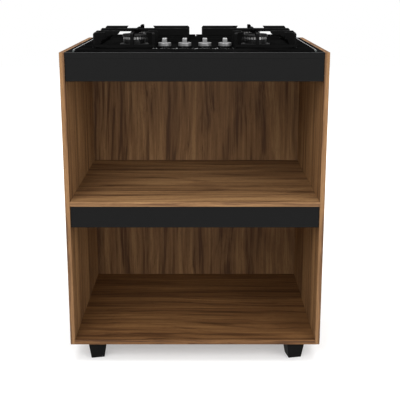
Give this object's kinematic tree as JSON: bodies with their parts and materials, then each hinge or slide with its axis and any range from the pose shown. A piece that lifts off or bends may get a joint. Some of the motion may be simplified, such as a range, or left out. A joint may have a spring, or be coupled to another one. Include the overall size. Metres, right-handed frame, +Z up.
{
  "type": "cooktop base cabinet",
  "caption": "Free-standing kitchen base cabinet with open niches for appliances, black worktop and a fitted gas hob.",
  "frame": {"origin": "on the floor, under the middle of the cabinet", "axes": "+Z up, -Y towards the open front, +X to the right seen from the front"},
  "size_m": [0.65, 0.52, 0.8515],
  "materials": {
    "wood_laminate": "matt wood-grain laminate on particle board",
    "black_laminate": "matt black laminate on particle board",
    "back_board": "hardboard, wood-grain print on its front face",
    "foot_plastic": "moulded black plastic",
    "zinc_steel": "zinc-plated steel",
    "cap_plastic": "wood-coloured plastic",
    "beech": "plain beech",
    "black_glass": "black tempered glass with polished edges",
    "foam": "black closed-cell foam",
    "tray_steel": "galvanised sheet",
    "cup_alloy": "black-coated die-cast alloy",
    "burner_alloy": "die-cast aluminium",
    "black_enamel": "satin black enamel",
    "ceramic": "white glazed ceramic",
    "brass": "turned brass",
    "gas_pipe": "drawn tube",
    "stem_steel": "turned steel",
    "blackened_steel": "blackened turned steel",
    "knob_silver": "satin silver-painted plastic",
    "seal_rubber": "black rubber",
    "module_plastic": "white moulded plastic",
    "cast_iron": "matt black enamelled iron"
  },
  "bodies": {
    "root": {"side_panel_left": "wood_laminate", "side_panel_right": "wood_laminate", "bottom_panel": "wood_laminate", "middle_shelf": "wood_laminate", "worktop": "black_laminate", "upper_front_rail": "black_laminate", "lower_front_rail": "black_laminate", "upper_rear_rail": "black_laminate", "back_panel": "back_board", "foot_front_left": "foot_plastic", "foot_front_right": "foot_plastic", "foot_rear_left": "foot_plastic", "foot_rear_right": "foot_plastic", "foot_studs": "zinc_steel", "foot_inserts": "zinc_steel", "side_screws": "zinc_steel", "corner_brackets": "zinc_steel", "bracket_screws": "zinc_steel", "hob_clamps": "zinc_steel", "clamp_screws": "zinc_steel", "screw_caps": "cap_plastic", "dowels": "beech", "hob_glass": "black_glass", "hob_seal": "foam", "hob_tray": "tray_steel", "burner_cups": "cup_alloy", "spark_electrodes": "ceramic", "injectors": "brass", "gas_valves": "brass", "gas_inlet": "brass", "gas_manifold": "gas_pipe", "gas_tubes": "gas_pipe", "knob_seals": "seal_rubber", "ignition_module": "module_plastic"},
    "spring_seat_front_left": {"spring_seat_front_left": "stem_steel"},
    "knob_front_left": {"knob_front_left": "knob_silver", "valve_stem_front_left": "blackened_steel"},
    "burner_crown_front_left": {"burner_crown_front_left": "burner_alloy"},
    "burner_cap_front_left": {"burner_cap_front_left": "black_enamel"},
    "spring_seat_front_right": {"spring_seat_front_right": "stem_steel"},
    "knob_front_right": {"knob_front_right": "knob_silver", "valve_stem_front_right": "blackened_steel"},
    "burner_crown_front_right": {"burner_crown_front_right": "burner_alloy"},
    "burner_cap_front_right": {"burner_cap_front_right": "black_enamel"},
    "spring_seat_rear_left": {"spring_seat_rear_left": "stem_steel"},
    "knob_rear_left": {"knob_rear_left": "knob_silver", "valve_stem_rear_left": "blackened_steel"},
    "burner_crown_rear_left": {"burner_crown_rear_left": "burner_alloy"},
    "burner_cap_rear_left": {"burner_cap_rear_left": "black_enamel"},
    "spring_seat_rear_right": {"spring_seat_rear_right": "stem_steel"},
    "knob_rear_right": {"knob_rear_right": "knob_silver", "valve_stem_rear_right": "blackened_steel"},
    "burner_crown_rear_right": {"burner_crown_rear_right": "burner_alloy"},
    "burner_cap_rear_right": {"burner_cap_rear_right": "black_enamel"},
    "pan_support_left": {"pan_support_left": "cast_iron", "support_feet_left": "seal_rubber"},
    "pan_support_right": {"pan_support_right": "cast_iron", "support_feet_right": "seal_rubber"}
  },
  "joints": [
    {"name": "knob_push_front_left", "type": "slide", "parent": "root", "child": "spring_seat_front_left", "axis": [0, 0, -1], "range_m": [0, 0.0035], "stiffness_N_per_m": 800, "springref_m": -0.004},
    {"name": "knob_turn_front_left", "type": "hinge", "parent": "spring_seat_front_left", "child": "knob_front_left", "pos_m": [-0.025, -0.176, 0.83], "axis": [0, 0, 1], "range_deg": [0, 210]},
    {"name": "crown_lift_front_left", "type": "slide", "parent": "root", "child": "burner_crown_front_left", "axis": [0, 0, 1], "range_m": [0, 0.06]},
    {"name": "cap_lift_front_left", "type": "slide", "parent": "burner_crown_front_left", "child": "burner_cap_front_left", "axis": [0, 0, 1], "range_m": [0, 0.06]},
    {"name": "knob_push_front_right", "type": "slide", "parent": "root", "child": "spring_seat_front_right", "axis": [0, 0, -1], "range_m": [0, 0.0035], "stiffness_N_per_m": 800, "springref_m": -0.004},
    {"name": "knob_turn_front_right", "type": "hinge", "parent": "spring_seat_front_right", "child": "knob_front_right", "pos_m": [0.025, -0.176, 0.83], "axis": [0, 0, 1], "range_deg": [0, 210]},
    {"name": "crown_lift_front_right", "type": "slide", "parent": "root", "child": "burner_crown_front_right", "axis": [0, 0, 1], "range_m": [0, 0.06]},
    {"name": "cap_lift_front_right", "type": "slide", "parent": "burner_crown_front_right", "child": "burner_cap_front_right", "axis": [0, 0, 1], "range_m": [0, 0.06]},
    {"name": "knob_push_rear_left", "type": "slide", "parent": "root", "child": "spring_seat_rear_left", "axis": [0, 0, -1], "range_m": [0, 0.0035], "stiffness_N_per_m": 800, "springref_m": -0.004},
    {"name": "knob_turn_rear_left", "type": "hinge", "parent": "spring_seat_rear_left", "child": "knob_rear_left", "pos_m": [-0.075, -0.176, 0.83], "axis": [0, 0, 1], "range_deg": [0, 210]},
    {"name": "crown_lift_rear_left", "type": "slide", "parent": "root", "child": "burner_crown_rear_left", "axis": [0, 0, 1], "range_m": [0, 0.06]},
    {"name": "cap_lift_rear_left", "type": "slide", "parent": "burner_crown_rear_left", "child": "burner_cap_rear_left", "axis": [0, 0, 1], "range_m": [0, 0.06]},
    {"name": "knob_push_rear_right", "type": "slide", "parent": "root", "child": "spring_seat_rear_right", "axis": [0, 0, -1], "range_m": [0, 0.0035], "stiffness_N_per_m": 800, "springref_m": -0.004},
    {"name": "knob_turn_rear_right", "type": "hinge", "parent": "spring_seat_rear_right", "child": "knob_rear_right", "pos_m": [0.075, -0.176, 0.83], "axis": [0, 0, 1], "range_deg": [0, 210]},
    {"name": "crown_lift_rear_right", "type": "slide", "parent": "root", "child": "burner_crown_rear_right", "axis": [0, 0, 1], "range_m": [0, 0.06]},
    {"name": "cap_lift_rear_right", "type": "slide", "parent": "burner_crown_rear_right", "child": "burner_cap_rear_right", "axis": [0, 0, 1], "range_m": [0, 0.06]},
    {"name": "pan_support_lift_left", "type": "slide", "parent": "root", "child": "pan_support_left", "axis": [0, 0, 1], "range_m": [0, 0.1]},
    {"name": "pan_support_lift_right", "type": "slide", "parent": "root", "child": "pan_support_right", "axis": [0, 0, 1], "range_m": [0, 0.1]}
  ]
}
